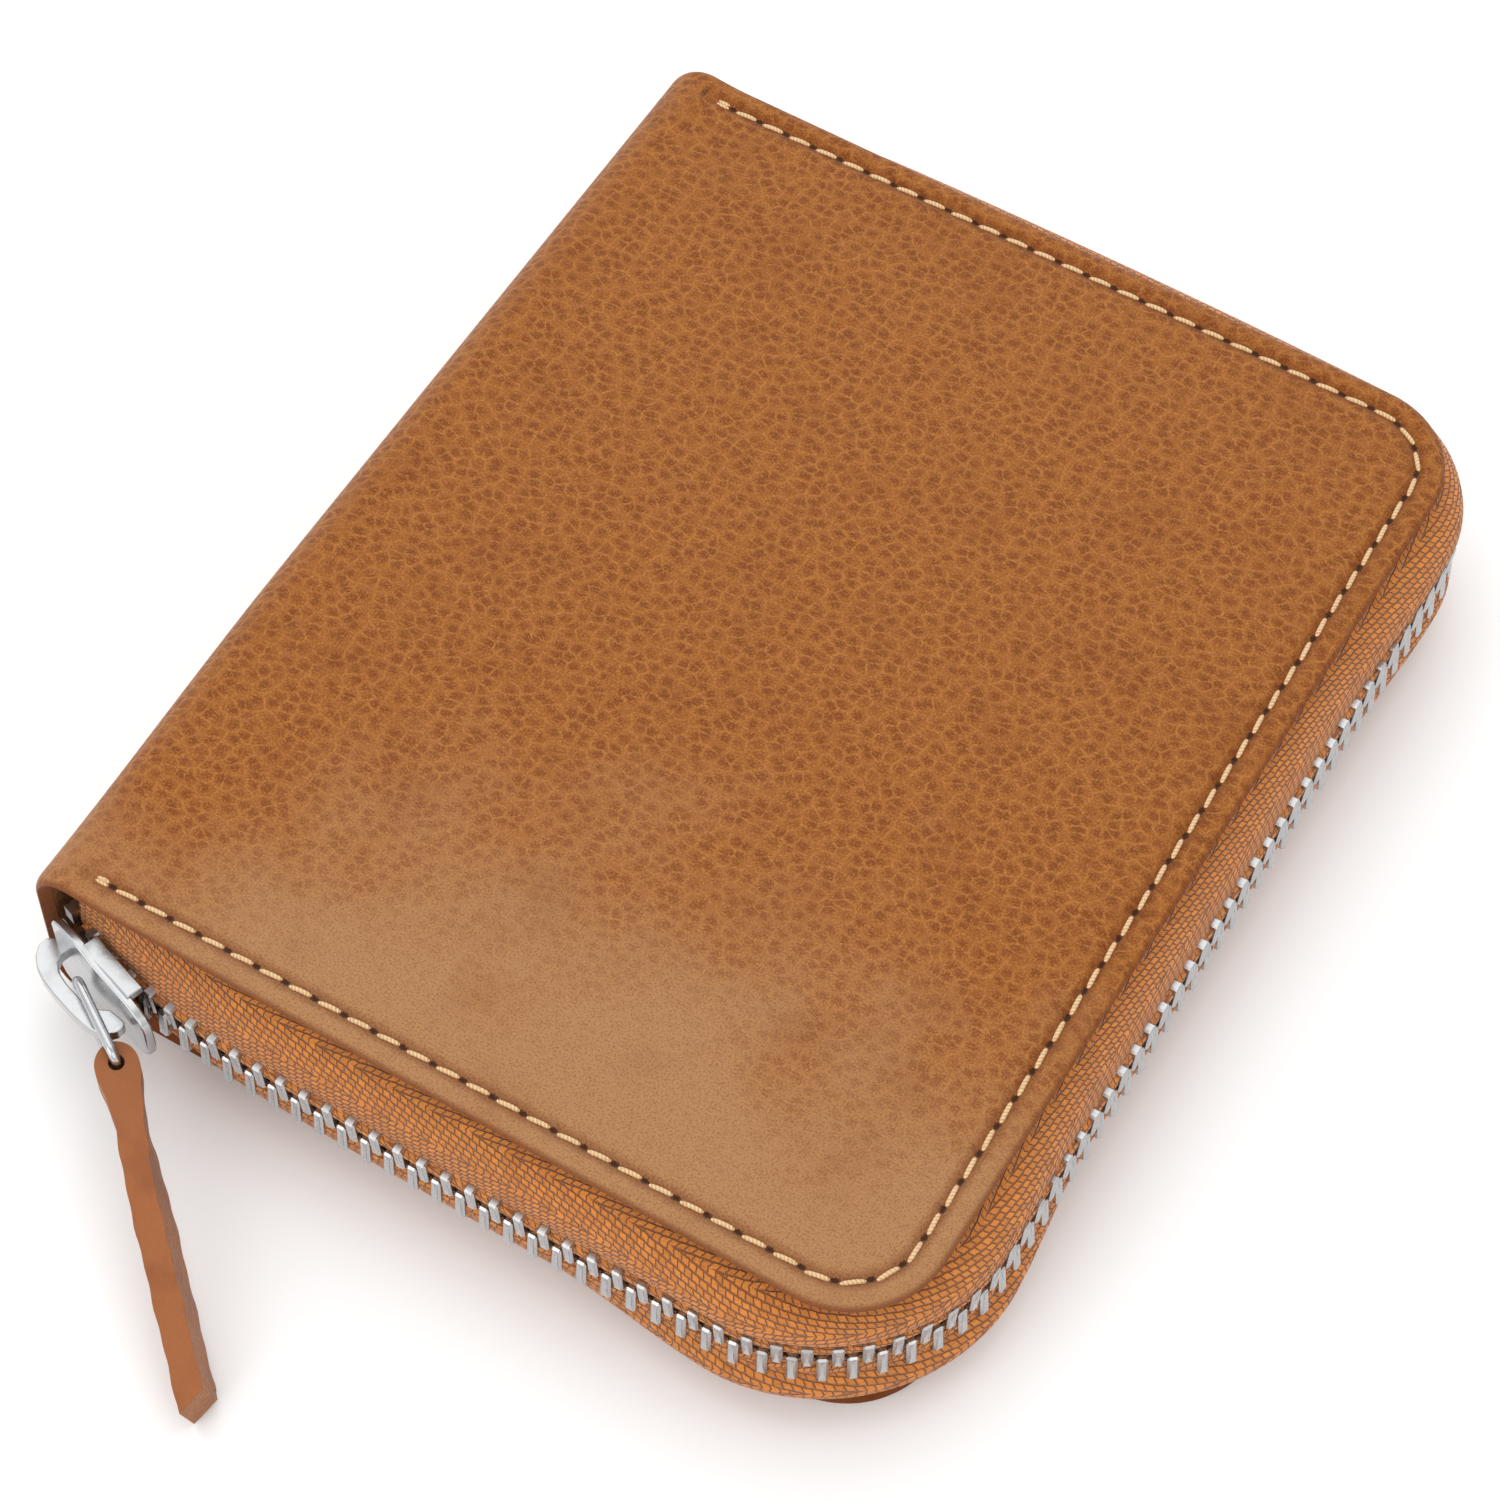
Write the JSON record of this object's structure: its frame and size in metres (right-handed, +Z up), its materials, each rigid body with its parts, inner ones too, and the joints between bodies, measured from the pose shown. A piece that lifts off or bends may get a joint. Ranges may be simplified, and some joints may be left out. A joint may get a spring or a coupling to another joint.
{
  "type": "zip around wallet",
  "caption": "Compact leather wallet of two stiff halves on a folding spine, closed on three sides by a metal zip with a leather pull tab.",
  "frame": {"origin": "centre of the bottom cover's width and depth, on the flat underside that the wallet lies on", "axes": "+X from the spine to the zip side, +Y along the spine away from the slider, +Z up through the closed wallet"},
  "size_m": [0.0935, 0.147, 0.021],
  "materials": {
    "tan_leather": "pebbled, satin",
    "tab_leather": "smooth painted edge",
    "pocket_leather": "smooth",
    "lining_cloth": "woven",
    "zip_tape": "herringbone tape",
    "board": "plain",
    "nickel": "polished nickel"
  },
  "bodies": {
    "base": {"bottom_cover": "tan_leather", "bottom_board": "board", "bottom_lining": "lining_cloth", "lower_zip_tape": "zip_tape", "lower_tooth_row": "nickel", "lower_top_stop": "nickel", "zip_end_stop": "nickel", "lower_note_panel": "pocket_leather", "lower_card_leaf_1": "pocket_leather", "lower_card_leaf_2": "pocket_leather", "lower_card_leaf_3": "pocket_leather"},
    "spine": {"spine_panel": "tan_leather", "spine_lining": "lining_cloth", "lower_spine_fold": "tan_leather"},
    "lid": {"top_cover": "tan_leather", "top_board": "board", "top_lining": "lining_cloth", "upper_zip_tape": "zip_tape", "upper_tooth_row": "nickel", "upper_top_stop": "nickel", "upper_note_panel": "pocket_leather", "upper_card_leaf_1": "pocket_leather", "upper_card_leaf_2": "pocket_leather", "upper_card_leaf_3": "pocket_leather", "upper_spine_fold": "tan_leather"},
    "slider": {"slider_body": "nickel"},
    "link": {"pull_link": "nickel"},
    "tab": {"pull_tab": "tab_leather"}
  },
  "joints": [
    {"name": "spine_fold", "type": "hinge", "parent": "base", "child": "spine", "pos_m": [-0.04344, 0, 0.00155], "axis": [0, -1, 0], "range_deg": [0, 90], "deforming": ["lower_spine_fold"]},
    {"name": "lid_fold", "type": "hinge", "parent": "spine", "child": "lid", "pos_m": [-0.04344, 0, 0.01945], "axis": [0, -1, 0], "range_deg": [0, 90], "deforming": ["upper_spine_fold", "upper_zip_tape", "upper_tooth_row"]},
    {"name": "slider_run", "type": "hinge", "parent": "base", "child": "slider", "pos_m": [0.00227, 0.16587, 0.0105], "axis": [0, 0, 1], "range_deg": [0, 15], "deforming": ["lower_zip_tape", "lower_tooth_row"]},
    {"name": "link_swing", "type": "hinge", "parent": "slider", "child": "link", "pos_m": [-0.03828, -0.05941, 0.0105], "axis": [-0.1396, 0.1171, -0.9833], "range_deg": [-4, 100]},
    {"name": "tab_swing", "type": "hinge", "parent": "link", "child": "tab", "pos_m": [-0.03095, -0.06383, 0.00893], "axis": [-0.1396, 0.1171, -0.9833], "range_deg": [-28, 50]}
  ],
  "couplings": [
    {"joint": "lid_fold", "follows": "spine_fold", "ratio": 1}
  ]
}
